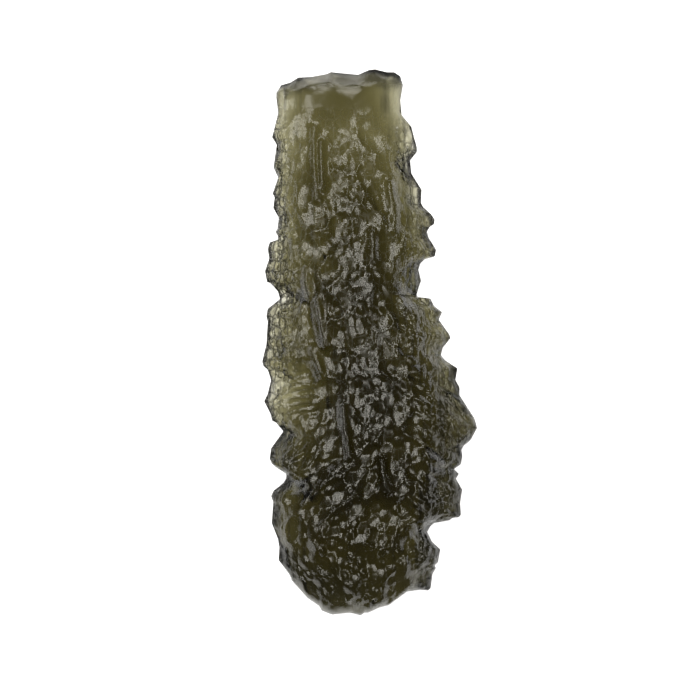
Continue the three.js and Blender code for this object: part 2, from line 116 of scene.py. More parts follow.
LEFT_SIDE = [
    (38.85, -6.5), (38.3, -6.85), (37.9, -6.85), (36.8, -6.7), (35.0, -7.15), (34.45, -6.8),
    (32.8, -7.05), (32.05, -6.7), (30.85, -7.1), (30.6, -6.95), (29.8, -7.05), (29.1, -6.65),
    (28.3, -6.75), (28.05, -6.9), (27.75, -6.7), (27.5, -6.7), (27.3, -7.3), (26.85, -7.45),
    (26.1, -7.35), (25.2, -7.65), (24.4, -7.5), (24.3, -7.25), (23.7, -6.7), (23.15, -6.55),
    (22.45, -7.45), (21.9, -7.55), (21.5, -7.45), (19.8, -7.55), (18.6, -7.85), (18.25, -7.75),
    (18.0, -7.45), (17.25, -7.2), (16.2, -7.45), (15.7, -7.7), (14.8, -7.25), (14.25, -7.1),
    (14.15, -6.85), (13.5, -6.3), (12.25, -7.2), (11.5, -7.3), (11.15, -7.15), (10.85, -6.8),
    (10.4, -6.1), (10.1, -6.1), (9.75, -6.3), (9.2, -7.0), (8.8, -7.2), (8.35, -7.05),
    (6.8, -7.15), (5.65, -6.7), (5.05, -6.6), (4.1, -6.65),
]
BROKEN_END = [
    (-6.5, 38.85), (-5.8, 39.05), (-5.25, 39.4), (-4.25, 39.45), (-3.15, 39.65), (-2.85, 39.8),
    (-0.85, 39.6), (-0.05, 39.95), (0.4, 40.0), (1.25, 39.8), (1.8, 39.8), (2.25, 39.5),
]
ROUNDED_END = [
    (-6.65, 4.1), (-5.9, 3.1), (-5.65, 2.55), (-4.55, 1.3), (-3.7, 0.7), (-3.5, 0.35),
    (-2.75, 0.05), (-1.45, 0.2), (-0.65, 0.0), (-0.4, 0.2), (-0.1, 0.2), (0.75, 0.6),
    (1.35, 0.75), (2.65, 1.75), (3.7, 1.9), (4.25, 1.85),
]
SIDE_STEP_SHARE = 0.25
EDGE_SAMPLES = 9
EDGE_SMOOTHING = 0.045
SPINE_SMOOTHING = 0.01
SPINE_REACH = 6
END_REACH = 6
CHIP_REACH = 14


def make_side(points, major):
    """One side of the outline as x, along and a running share from 0 to 1."""
    line = np.array(points, float)
    steps = np.abs(np.diff(line, axis=0))
    strides = steps[:, major] + SIDE_STEP_SHARE * steps[:, 1 - major]
    runs = np.concatenate([[0], np.cumsum(strides)])
    return line[:, 0], line[:, 1], runs / runs[-1]


def read_side(side, t):
    x, along, runs = side
    return np.stack([np.interp(t, runs, x), np.interp(t, runs, along)])


def read_smooth_side(side, t, smoothing):
    """The same side, averaged over a stretch about each place. It keeps its two ends."""
    reach = np.minimum(smoothing, np.minimum(t, 1 - t))
    total = 0
    weights = 0
    for k in range(-EDGE_SAMPLES, EDGE_SAMPLES + 1):
        weight = 1 - abs(k) / (EDGE_SAMPLES + 1)
        total = total + weight * read_side(side, t + reach * k / EDGE_SAMPLES)
        weights += weight
    return total / weights


left_side = make_side([(x, along) for along, x in reversed(LEFT_SIDE)], 1)
right_side = make_side([(x, along) for along, x in reversed(RIGHT_SIDE)], 1)
rounded_end = make_side(ROUNDED_END, 0)
broken_end = make_side(BROKEN_END, 0)


def place(u, v):
    """Places on the stone seen from above, and how far in they lie from the sides and the ends.

    u runs from left to right, and v from the rounded end up.
    """
    left, right = read_side(left_side, v), read_side(right_side, v)
    rounded, broken = read_side(rounded_end, u), read_side(broken_end, u)
    smooth_left = read_smooth_side(left_side, v, EDGE_SMOOTHING)
    smooth_right = read_smooth_side(right_side, v, EDGE_SMOOTHING)
    smooth_rounded = read_smooth_side(rounded_end, u, EDGE_SMOOTHING)
    smooth_broken = read_smooth_side(broken_end, u, EDGE_SMOOTHING)
    low_chord = mix(read_side(rounded_end, 0 * u), read_side(rounded_end, 0 * u + 1), u)
    high_chord = mix(read_side(broken_end, 0 * u), read_side(broken_end, 0 * u + 1), u)
    spot = (
        mix(smooth_left, smooth_right, u)
        + (1 - v) ** END_REACH * (smooth_rounded - low_chord)
        + v**END_REACH * (smooth_broken - high_chord)
        + (1 - u) ** SPINE_REACH * (left - smooth_left)
        + u**SPINE_REACH * (right - smooth_right)
        + (1 - v) ** CHIP_REACH * (rounded - smooth_rounded)
        + v**CHIP_REACH * (broken - smooth_broken)
    )
    width = smooth_right[0] - smooth_left[0]
    height = smooth_broken[1] - smooth_rounded[1]
    left_spine = smooth_left[0] - read_smooth_side(left_side, v, SPINE_SMOOTHING)[0]
    right_spine = read_smooth_side(right_side, v, SPINE_SMOOTHING)[0] - smooth_right[0]
    spine = (left_spine, right_spine)
    from_side = np.minimum(u, 1 - u) * width
    return spot[0], spot[1], from_side, v * height, (1 - v) * height, spine


# The pits lie in columns that follow the flow of the glass. Each kind has the size of its cells,
# its depth, the power of its floor, how far it may lean, wander and turn, and the half width of
# its bowls in cells.
PITS = dict(
    width=1.3, length=1.7, depth=0.21, floor=3, lean=0.42,
    wander=(0.3, 0.6), half=0.72, turn=0.22, seed=20,
)
BRICKS = dict(
    width=0.8, length=0.95, depth=0.035, floor=3, lean=0.13,
    wander=(0.15, 0.25), half=0.62, turn=0.08, seed=140,
)
BEADS = dict(
    width=0.68, length=0.88, depth=0.11, floor=2, lean=0.06,
    wander=(0.12, 0.2), half=0.6, turn=0.06, seed=60,
)
SHARDS = dict(
    width=0.6, length=1.5, depth=0.16, floor=2, lean=0.35,
    wander=(0.4, 0.5), half=0.62, turn=0.22, seed=160,
)
COBBLES = dict(
    width=0.45, length=0.5, depth=0.16, floor=3, lean=0.15,
    wander=(0.5, 0.6), half=0.56, turn=0.22, seed=100,
)
CHIPS = dict(
    width=1.3, length=0.5, depth=0.14, floor=2, lean=0.2,
    wander=(0.5, 0.3), half=0.7, turn=0.22, seed=120,
)
BACK_PITS = dict(PITS, seed=40)
BACK_BRICKS = dict(BRICKS, seed=80)
HALF_SPREAD = (0.75, 1.25)
DEPTH_SPREAD = (0.6, 1.25)
# How far the columns fan out: (along, on the left, on the right).
FAN = [
    (0, -0.15, -0.15), (4, -0.1, -0.1), (6.5, 0, 0), (9, 0.12, 0.12), (13, 0.05, 0.05),
    (17, 0.25, 0.1), (20, 0.1, 0.14), (23, 0.02, 0.05), (27, 0, 0), (40, 0, 0),
]
FAN_CROSSING = 1


def pit_depth(flow_x, along, kind):
    """Depth of the pits. The bowls overlap, and the deepest one wins."""
    width, length, lean, seed = kind["width"], kind["length"], kind["lean"], kind["seed"]
    wander_x, wander_y = kind["wander"]
    column, row = np.floor(flow_x / width), np.floor(along / length)
    deepest = np.zeros_like(flow_x)
    for di in range(-2, 3):
        for dj in range(-2, 3):
            i, j = column + di, row + dj
            centre_x = (i + 0.5 + wander_x * (chance(i, j, seed + 1) - 0.5)) * width
            stagger = 0.5 * np.mod(i, 2)
            centre_y = (j + stagger + 0.5 + wander_y * (chance(i, j, seed + 2) - 0.5)) * length
            right_share = smoothstep(-FAN_CROSSING, FAN_CROSSING, centre_x)
            fan = mix(read_table(FAN, centre_y, 1), read_table(FAN, centre_y, 2), right_share)
            turn = kind["turn"] * (2 * chance(i, j, seed + 3) - 1) + fan * centre_x
            dx, dy = flow_x - centre_x, along - centre_y
            across = dx * np.cos(turn) + dy * np.sin(turn)
            down = dy * np.cos(turn) - dx * np.sin(turn)
            half = kind["half"] * mix(*HALF_SPREAD, chance(i, j, seed + 4))
            reach = np.hypot(across / (half * width), down / (half * length))
            bowl = kind["depth"] * mix(*DEPTH_SPREAD, chance(i, j, seed + 5))
            bowl = bowl * (1 - reach ** kind["floor"])
            bowl += lean * (2 * chance(i, j, seed + 6) - 1) * across
            bowl += lean * (2 * chance(i, j, seed + 7) - 1) * down
            deepest = np.maximum(deepest, bowl)
    return deepest


# The long crests: (height, line of (across, along)). The knobs, the hollows, and the cobbled and
# combed patches on the left: (across, along, two half widths, height, depth or share). The worn
# flats on the back, which carry the stone: (across, along, radius).
CRESTS = [
    (0.17, [(-4.1, 35.6), (-4.1, 33.0), (-3.9, 30.4)]),
    (0.14, [(-3.6, 34.5), (-3.5, 31.2)]),
    (0.18, [(1.5, 31.5), (1.9, 29.3), (1.8, 28.2)]),
    (0.18, [(-4.7, 25.3), (-4.65, 24.2), (-4.45, 23.3)]),
    (0.2, [(-3.9, 23.1), (-3.7, 22.0), (-3.5, 20.9), (-3.3, 19.8)]),
    (0.18, [(-4.2, 19.4), (-3.9, 18.7), (-3.6, 17.8)]),
    (0.2, [(-1.95, 15.4), (-1.8, 13.9), (-1.65, 12.8), (-1.45, 11.7)]),
    (0.2, [(0.85, 11.4), (1.1, 9.9), (1.35, 9.2)]),
    (0.2, [(-5.7, 27.6), (-5.4, 25.9)]),
    (0.15, [(0.15, 27.9), (0.25, 25.9)]),
]
CREST_HALF_WIDTH = 0.36
KNOBS = [
    (-6.6, 25.2, 1.0, 2.0, 0.05), (-6.4, 20.6, 1.3, 2.2, 0.1), (6.4, 13.8, 1.3, 1.6, 0.3),
    (5.9, 8.8, 0.9, 1.5, 0.35), (4.4, 4.0, 0.8, 1.5, 0.3), (3.7, 27.3, 0.8, 1.4, 0.25),
    (4.6, 20.8, 1.2, 2.0, 0.25),
]
HOLLOWS = [
    (-2.7, 11.3, 0.9, 0.5, 0.3), (3.85, 12.4, 1.2, 0.5, 0.25), (4.95, 9.7, 0.7, 0.7, 0.3),
    (2.8, 5.4, 0.6, 0.5, 0.35), (-6.3, 23.4, 0.45, 0.6, 0.5),
]
GRAINY = [(-6.7, 25.2, 1.1, 2.2, 1.0), (-7.0, 20.5, 0.7, 2.6, 0.8), (-6.9, 33.0, 0.5, 5.0, 0.7)]
COMBED = [(-5.0, 16.1, 1.1, 1.6, 1.2), (-5.0, 9.8, 0.9, 1.0, 0.6)]
RESTS = [
    (-0.3, 16.2, 2.3), (-2.6, 9.6, 1.5), (2.4, 10.2, 1.5), (-3.0, 23.6, 1.3), (-1.2, 29.4, 1.4),
]
REST_REACH = 1.5


def distance_to_line(x, along, line):
    best = np.full_like(x, np.inf)
    for (ax, ay), (bx, by) in zip(line, line[1:]):
        squared_length = (bx - ax) ** 2 + (by - ay) ** 2
        share = ((x - ax) * (bx - ax) + (along - ay) * (by - ay)) / squared_length
        share = np.clip(share, 0, 1)
        best = np.minimum(best, np.hypot(x - mix(ax, bx, share), along - mix(ay, by, share)))
    return best


def crests_at(x, along):
    """Height of the crests, and how near the closest one is, from 0 to 1."""
    most = np.zeros_like(x)
    nearest = np.zeros_like(x)
    for height, line in CRESTS:
        share = distance_to_line(x, along, line) / CREST_HALF_WIDTH
        near = np.exp(-(share**2))
        most = np.maximum(most, height * near)
        nearest = np.maximum(nearest, near)
    return most, nearest


def sum_of_knobs(knobs, x, along):
    """Soft round rises: place, half widths and height of each."""
    total = np.zeros_like(x)
    for cx, cy, rx, ry, height in knobs:
        total += height * np.exp(-(((x - cx) / rx) ** 2) - ((along - cy) / ry) ** 2)
    return total


def rest_share(x, along):
    """How near the closest worn flat is, from 0 to 1."""
    most = np.zeros_like(x)
    for cx, cy, radius in RESTS:
        share = np.hypot(x - cx, along - cy) / radius
        most = np.maximum(most, smoothstep(REST_REACH, 0, share))
    return most


# The body: (along, left edge, right edge) of the core, its thickness, and the thickness of the
# left and the right rim.
CORE = [
    (0, -4.2, 2.8), (1.8, -4.7, 3.5), (4.8, -6.0, 4.0), (8.4, -6.0, 4.9), (12.1, -5.0, 5.4),
    (15.8, -4.2, 4.9), (19.4, -4.4, 3.9), (23.1, -4.8, 3.2), (26.8, -5.1, 2.8),
    (30.4, -5.6, 2.6), (34.1, -5.7, 2.1), (38, -5.7, 1.2), (40, -5.7, 1.1),
]
THICKNESS = [
    (0, 3.2), (2, 4.4), (5, 5.3), (9, 5.7), (14, 5.8), (20, 5.5), (26, 4.8), (32, 3.9),
    (36, 3.1), (40, 2.8),
]
RIM = [
    (0, 1.2, 1.1), (3, 1.5, 1.2), (6, 1.6, 1.2), (9, 1.5, 1.4), (12, 1.2, 1.3), (15, 1.1, 1.3),
    (20, 1.1, 1.1), (23.5, 0.9, 1.0), (26.5, 0.9, 1.0), (30, 1.0, 1.0), (33.5, 1.0, 0.9),
    (37, 1.0, 0.9), (40, 1.0, 0.9),
]
CORE_POWER = 4
BACK_POWER = 2.2
FLANGE = 2.6
MID_PLANE = 0.42
SIDE_CROSSING = 0.5
SPINE_RIDGE = 0.5
SPINE_HEIGHT = 0.6
RIM_WAVE = (0.3, 3, 2.4, 11)
FLOW_HALF_WIDTH = 4.6

# Where the relief is strong and where it is calm. The shares run along the stone.
SMOOTH_ZONE = (37.6, 33.8)  # along, from the smooth window to the pits
SMOOTH_SHARE = 0.15
CREST_CALM = 0.75
FLANK_CALM = (0.35, 0.7)  # front and back
LUMPS = (0.16, 1.9, 2.7, 12)
BEAD_SHARE = [(0, 1.7), (4, 1.5), (9, 1.2), (14, 0.9), (20, 0.6), (28, 0.3), (40, 0.2)]
BRICK_SHARE = [(0, 0.4), (12, 0.4), (20, 0.8), (26, 1), (40, 1)]
SHARD_SHARE = [(0, 0.5), (8, 1), (21, 1), (25, 0.3), (40, 0)]
SHARD_LEAN = 0.5
SHARD_START = (0.6, 0.8)
SHARD_END = (1.5, 1.2)
BEAD_SINK = 0.1
RIM_BAND = (0.85, 1.2)
RIM_GRAIN = 0.8
RIGHT_TEXTURE = 0.2
COMBS = (0.5, 0.03)  # spacing and height
COMB_CURVE = 0.015
COMB_BARS = (-0.3, 0.5)
BACK_SHARE = 0.65
BACK_LUMPS = (0.35, 1.6, 2.1, 14)
BACK_BULGE = 0.5

# The broken end: a slanted break, chipped along its edge.
BREAK_SLOPE = 0.95
BREAK_WAVE = (0.6, 1.1, 1, 13)
BREAK_LEVEL = 0.5
BREAK_REACH = (1.6, 0.5)  # of the chips, in slopes of the break
BREAK_EDGE = 0.5


def lay_out(u, v):
    """Where each vertex lies, and how much it belongs to each part of the stone.

    q runs from -1 at the left edge of the core to 1 at its right edge.
    """
    x, along, from_side, from_rounded, from_broken, spine = place(u, v)
    left, right = read_table(CORE, along, 1), read_table(CORE, along, 2)
    q = (2 * x - left - right) / (right - left)
    inland = 1 - (1 - np.clip(from_side / FLANGE, 0, 1)) ** 2
    core = inland / (1 + np.abs(q) ** CORE_POWER)
    right_share = smoothstep(-SIDE_CROSSING, SIDE_CROSSING, q)
    rim = mix(read_table(RIM, along, 1), read_table(RIM, along, 2), right_share)
    reach = mix(spine[0] * (1 - u) ** 2, spine[1] * u**2, right_share)
    thickness = read_table(THICKNESS, along, 1)
    crest, crest_share = crests_at(x, along)
    calm = mix(SMOOTH_SHARE, 1, smoothstep(*SMOOTH_ZONE, along))
    calm = calm * (1 - CREST_CALM * crest_share)
    flank = 4 * core * (1 - core)
    front_calm = calm * (1 - FLANK_CALM[0] * flank)
    rim_share = smoothstep(*RIM_BAND, np.maximum(-q, q + RIGHT_TEXTURE))
    glossy = np.clip(sum_of_knobs(GRAINY, x, along), 0, 1)
    combed = np.clip(sum_of_knobs(COMBED, x, along), 0, 1)
    comb_wave = np.sin(2 * np.pi * (along + COMB_CURVE * x**2) / COMBS[0])
    near_break = smoothstep(BREAK_REACH[0] * BREAK_SLOPE, BREAK_REACH[1] * BREAK_SLOPE, from_broken)
    return SimpleNamespace(
        x=x,
        along=along,
        from_side=from_side,
        from_rounded=from_rounded,
        from_broken=from_broken,
        q=q,
        flow_x=q * (FLOW_HALF_WIDTH + (right - left) / 2) / 2,
        core=core,
        belly=inland / (1 + np.abs(q) ** BACK_POWER),
        right_share=right_share,
        rim=rim,
        half=(rim / 2) * (1 + SPINE_RIDGE * np.clip(reach / SPINE_HEIGHT, -1, 1)),
        thickness=thickness,
        middle=MID_PLANE * thickness + wave(RIM_WAVE, x, along) * (1 - core),
        crest=crest,
        crest_share=crest_share,
        calm=front_calm,
        back_calm=BACK_SHARE * calm * (1 - FLANK_CALM[1] * flank),
        knobs=sum_of_knobs(KNOBS, x, along),
        rim_share=rim_share,
        glossy=glossy,
        grainy=np.clip(glossy + RIM_GRAIN * front_calm * rim_share, 0, 1) * (1 - combed),
        combed=combed,
        comb_wave=comb_wave,
        bars=combed * smoothstep(*COMB_BARS, comb_wave),
        near_break=near_break,
        chips=near_break * pit_depth(x, from_broken, CHIPS),
    )


def front_height(at):
    """The front with all of its relief, before the rim closes it."""
    shard_side = smoothstep(*SHARD_START, at.q) * smoothstep(*SHARD_END, at.q)
    shards = shard_side * read_table(SHARD_SHARE, at.along, 1)
    beads = at.calm * read_table(BEAD_SHARE, at.along, 1) * (1 - shard_side)
    bricks = at.calm * read_table(BRICK_SHARE, at.along, 1)
    return (
        at.middle
        + at.half
        + ((1 - MID_PLANE) * at.thickness - at.half) * at.core
        + at.calm * (wave(LUMPS, at.x, at.along) - pit_depth(at.flow_x, at.along, PITS))
        - bricks * (1 - at.grainy) * pit_depth(at.flow_x, at.along, BRICKS)
        + shards * pit_depth(at.x + SHARD_LEAN * at.along, at.along, SHARDS)
        + beads * (1 - at.grainy) * (pit_depth(at.flow_x, at.along, BEADS) - BEAD_SINK)
        + at.grainy * pit_depth(at.x, at.along, COBBLES)
        + at.combed * COMBS[1] * at.comb_wave
        + at.crest
        + at.knobs
        - sum_of_knobs(HOLLOWS, at.x, at.along)
    )


def back_height(at):
    """The rounder back with its shallow pits, before the rim closes it."""
    return (
        at.middle
        - at.half
        - (MID_PLANE * at.thickness - at.half) * at.belly
        + at.back_calm * pit_depth(at.flow_x, at.along, BACK_PITS)
        + at.back_calm * pit_depth(at.flow_x, at.along, BACK_BRICKS)
        + at.back_calm * at.belly * wave(BACK_LUMPS, at.x, at.along)
        - BACK_SHARE * at.knobs
        - BACK_BULGE * rest_share(at.x, at.along)
    )


# How the front and the back round off towards the rim, the rounded end and the break.
RIM_RADIUS = 0.32
ROUNDING = 0.5
BELLY_SHARE = 0.36
BELLY_ROUNDING = 1.2
BREAK_BELLY = 0.8
EDGE_LIFT = 0.65
LEAST_FRONT = 0.12
LEAST_HALF = 0.2


def round_off(distance, radius):
    """A quarter circle, from 0 at the edge to 1 at the radius and beyond."""
    t = np.clip(distance / radius, 0, 1)
    return np.sqrt(1 - (1 - t) ** 2)


def close_up(at, front, back):
    """Brings the front and the back together at the rim, and slants and chips the break."""
    broken_edge = mix(back, front, BREAK_EDGE)
    at_break = smoothstep(2 * BREAK_SLOPE, 0, at.from_broken)
    edge = mix(at.middle + EDGE_LIFT * at.half, broken_edge, at_break)
    lift = front - at.chips - edge
    lift = (lift + np.hypot(lift, LEAST_FRONT)) / 2
    break_slope = BREAK_SLOPE * (1 + wave(BREAK_WAVE, at.x, BREAK_LEVEL))
    slope = np.clip(at.from_broken / break_slope, 0, 1)
    lift = lift * round_off(at.from_side, RIM_RADIUS) * round_off(at.from_rounded, ROUNDING)
    drop = np.maximum(LEAST_HALF, edge - back) * round_off(at.from_side, BELLY_SHARE * at.rim)
    drop = drop * round_off(at.from_rounded, BELLY_ROUNDING) * round_off(at.from_broken, BREAK_BELLY)
    return edge + lift * slope, np.maximum(0, edge - drop)


# The finish: how stained, shaded, dull and lined each part of the skin is. The base colour is darker
# all over the break. Painted shade darkens the rims, the rounded end, the chips of the break, a line
# along the break and the gaps between the comb bars, and the flanks carry random stain streaks. The
# lines are painted shade in the grooves between the cobbles, and the pale streaks are a painted
# sheen on the crests and the comb bars. The tables run along the stone, and the rim table has a
# column for the left rim and one for the right.
# Painted shade along the rims and towards the rounded end: (along, left rim, right rim).
RIM_SHADE = [
    (0, 1.0, 0.8), (6, 1.4, 0.85), (9, 1.0, 0.8), (12, 0.4, 0.5), (16, 0.05, 0.2),
    (22, 0, 0), (26, 0, 0), (40, 0, 0),
]
# The break is darker all over, with painted shade deeper in its chips and in a dark line along its
# edge. Painted shade also darkens the gaps between the comb bars and the rounded end.
BREAK_DARKENING = (0.5, 5)  # all over, and in the chips
BREAK_SHADE_LINE = (0.5, 0.4)  # width and strength of the dark line along the break
COMB_GAP_SHADE = 0.55
TIP_SHADE = 0.8
TIP_REACH = (4, 1)
FLANK_STREAKS = (0.9, 0.28, 2.2, 15)
FLANK_BAND = (0.5, 0.75)
DULL_REACH = (0.9, 0.3)
BREAK_DULL = 0.9
STREAK_DULL = 0.5
KNOB_SHINE = 0.9
# The lines are painted shade in the grooves between the cobbles. On the crests and the comb bars
# there are fewer grooves and less of that shade.
RIM_SHADED_LINES = 0.65
FEWER_GROOVES_ON_CRESTS = 0.7
CRACKLE = [
    (0, 0.3), (12, 0.5), (20, 0.8), (24, 0.9), (33, 0.9), (36.5, 0.5), (38, 0.1), (40, 0.1),
]


def finish_shares(at):
    """Shares of each finish, of the painted shade and of the painted sheen, from 0 to 1, which the
    glass reads from the skin.
    """
    # Painted shade on the rims and the rounded end, a darker break with painted shade in its chips,
    # painted shade between the comb bars, random stain streaks on the flanks, and a line of painted
    # shade along the break.
    stain_and_shade = mix(read_table(RIM_SHADE, at.along, 1), read_table(RIM_SHADE, at.along, 2), at.right_share)
    stain_and_shade = stain_and_shade * np.maximum(at.rim_share, TIP_SHADE * smoothstep(*TIP_REACH, at.from_rounded))
    stain_and_shade = stain_and_shade + at.near_break * BREAK_DARKENING[0] + BREAK_DARKENING[1] * at.chips
    stain_and_shade = stain_and_shade + COMB_GAP_SHADE * (at.combed - at.bars)
    streaks = np.maximum(0, wave(FLANK_STREAKS, at.x, at.along))
    stain_and_shade = stain_and_shade + smoothstep(*FLANK_BAND, np.abs(at.q)) * streaks * (1 - at.combed)
    stain_and_shade = stain_and_shade + BREAK_SHADE_LINE[1] * smoothstep(BREAK_SHADE_LINE[0], 0, at.from_broken)
    outer = smoothstep(*DULL_REACH, np.minimum(at.from_side, at.from_rounded))
    dull = np.maximum(outer * (1 - KNOB_SHINE * at.glossy), STREAK_DULL * at.crest_share)
    groove_share = 1 - FEWER_GROOVES_ON_CRESTS * np.maximum(at.crest_share, at.combed)
    crackle = read_table(CRACKLE, at.along, 1) * (1 - at.rim_share)
    # The pale streak share is a painted sheen on the crests and the comb bars. The line share is
    # painted shade in the grooves between the cobbles.
    return {
        "rim": np.maximum(dull, BREAK_DULL * at.near_break),
        "pale_sheen": np.maximum(at.crest_share, at.bars),
        "stain_and_shade": np.clip(stain_and_shade, 0, 1),
        "crackle": crackle * (1 - FEWER_GROOVES_ON_CRESTS * at.crest_share),
        "shaded_lines": np.maximum(RIM_SHADED_LINES * at.rim_share * at.calm, at.grainy) * groove_share,
    }


# The grids: strips across, rows along, and how they crowd towards the rim.
STRIPS = 207
ROWS = 423
BACK_COARSENESS = 3
EDGE_CROWDING = 0.35
END_CROWDING = 0.15
SEAM_GAP = 1e-7  # in metres


def crowd(t, amount):
    """Even steps, gathered towards both ends."""
    return mix(t, (1 - np.cos(np.pi * t)) / 2, amount)


def add_grid(skin, coarseness):
    strips, rows = STRIPS // coarseness, ROWS // coarseness
    bmesh.ops.create_grid(skin, x_segments=strips, y_segments=rows, size=0.5)


def make_stone():
    """A fine front grid and a coarser back one, brought to shape.

    They are joined along the sides and the rounded end. Along the break they only meet, to
    within a hundredth of a millimetre.
    """
    skin = bmesh.new()
    add_grid(skin, 1)
    front_verts, front_faces = len(skin.verts), len(skin.faces)
    add_grid(skin, BACK_COARSENESS)
    skin.verts.ensure_lookup_table()
    skin.edges.ensure_lookup_table()
    skin.faces.ensure_lookup_table()
    back_edges = {edge for face in skin.faces[front_faces:] for edge in face.edges}
    seam = [edge for edge in back_edges if edge.is_boundary]
    bmesh.ops.subdivide_edges(skin, edges=seam, cuts=BACK_COARSENESS - 1)
    skin.verts.ensure_lookup_table()
    grid = np.array([vert.co[:2] for vert in skin.verts])
    u = crowd(grid[:, 0] + 0.5, EDGE_CROWDING)
    v = crowd(grid[:, 1] + 0.5, END_CROWDING)
    at = lay_out(u, v)
    front, back = close_up(at, front_height(at), back_height(at))
    height = np.where(np.arange(len(u)) < front_verts, front, back)
    for vert, x, along, z in zip(skin.verts, at.x, at.along, height):
        vert.co = (x / 1000, (along - LENGTH / 2) / 1000, z / 1000)
    for name, values in finish_shares(at).items():
        layer = skin.verts.layers.float.new(name)
        for vert, value in zip(skin.verts, values):
            vert[layer] = value
    skin.faces.ensure_lookup_table()
    bmesh.ops.reverse_faces(skin, faces=skin.faces[front_faces:])
    rim = [vert for vert in skin.verts if vert.is_boundary]
    bmesh.ops.remove_doubles(skin, verts=rim, dist=SEAM_GAP)
    bmesh.ops.triangulate(skin, faces=[face for face in skin.faces if len(face.verts) > 4])
    mesh = bpy.data.meshes.new("moldavite_stone")
    skin.to_mesh(mesh)
    skin.free()
    mesh.shade_smooth()
    stone = bpy.data.objects.new("moldavite_stone", mesh)
    bpy.context.scene.collection.objects.link(stone)
    return stone


stone = make_stone()


# The glass: clear and green-brown, with random stain streaks, painted shade that darkens the rims,
# the rounded end and the break, dark lines of painted shade between the cobbles, a pale painted
# sheen on the crests and the comb bars, dull grooves between the bricks and a faint grain. Patterns
# and bumps are in metres.
GLASS_IOR = 1.49
TINT = (0.45, 0.42, 0.17, 1)
TINT_DENSITY = 1510
CLEAR = (1, 1, 1, 1)
STAIN_SHADE_TONE = (0.22, 0.22, 0.22, 1)
SHADED_LINE_TONE = (0.1, 0.1, 0.09, 1)
PALE_SHEEN_TONE = (1, 1, 0.95, 1)
CORE_ROUGHNESS = 0.18
RIM_ROUGHNESS = 0.32
GROOVE_ROUGHNESS = 0.45
GRAIN_SCALE = (4200, 1600, 4200)
GRAIN_DEPTH = 1.3e-5
CELL_SCALE = (2100, 1250, 2100)
CELL_RANDOMNESS = 0.5
SWIRL_SCALE = 0.8
SWIRL = (0.7, 0.7, 0.7)
LINE_WIDTH = 0.17
LINE_DEPTH = 4e-5
GROOVE_WIDTH = 0.1


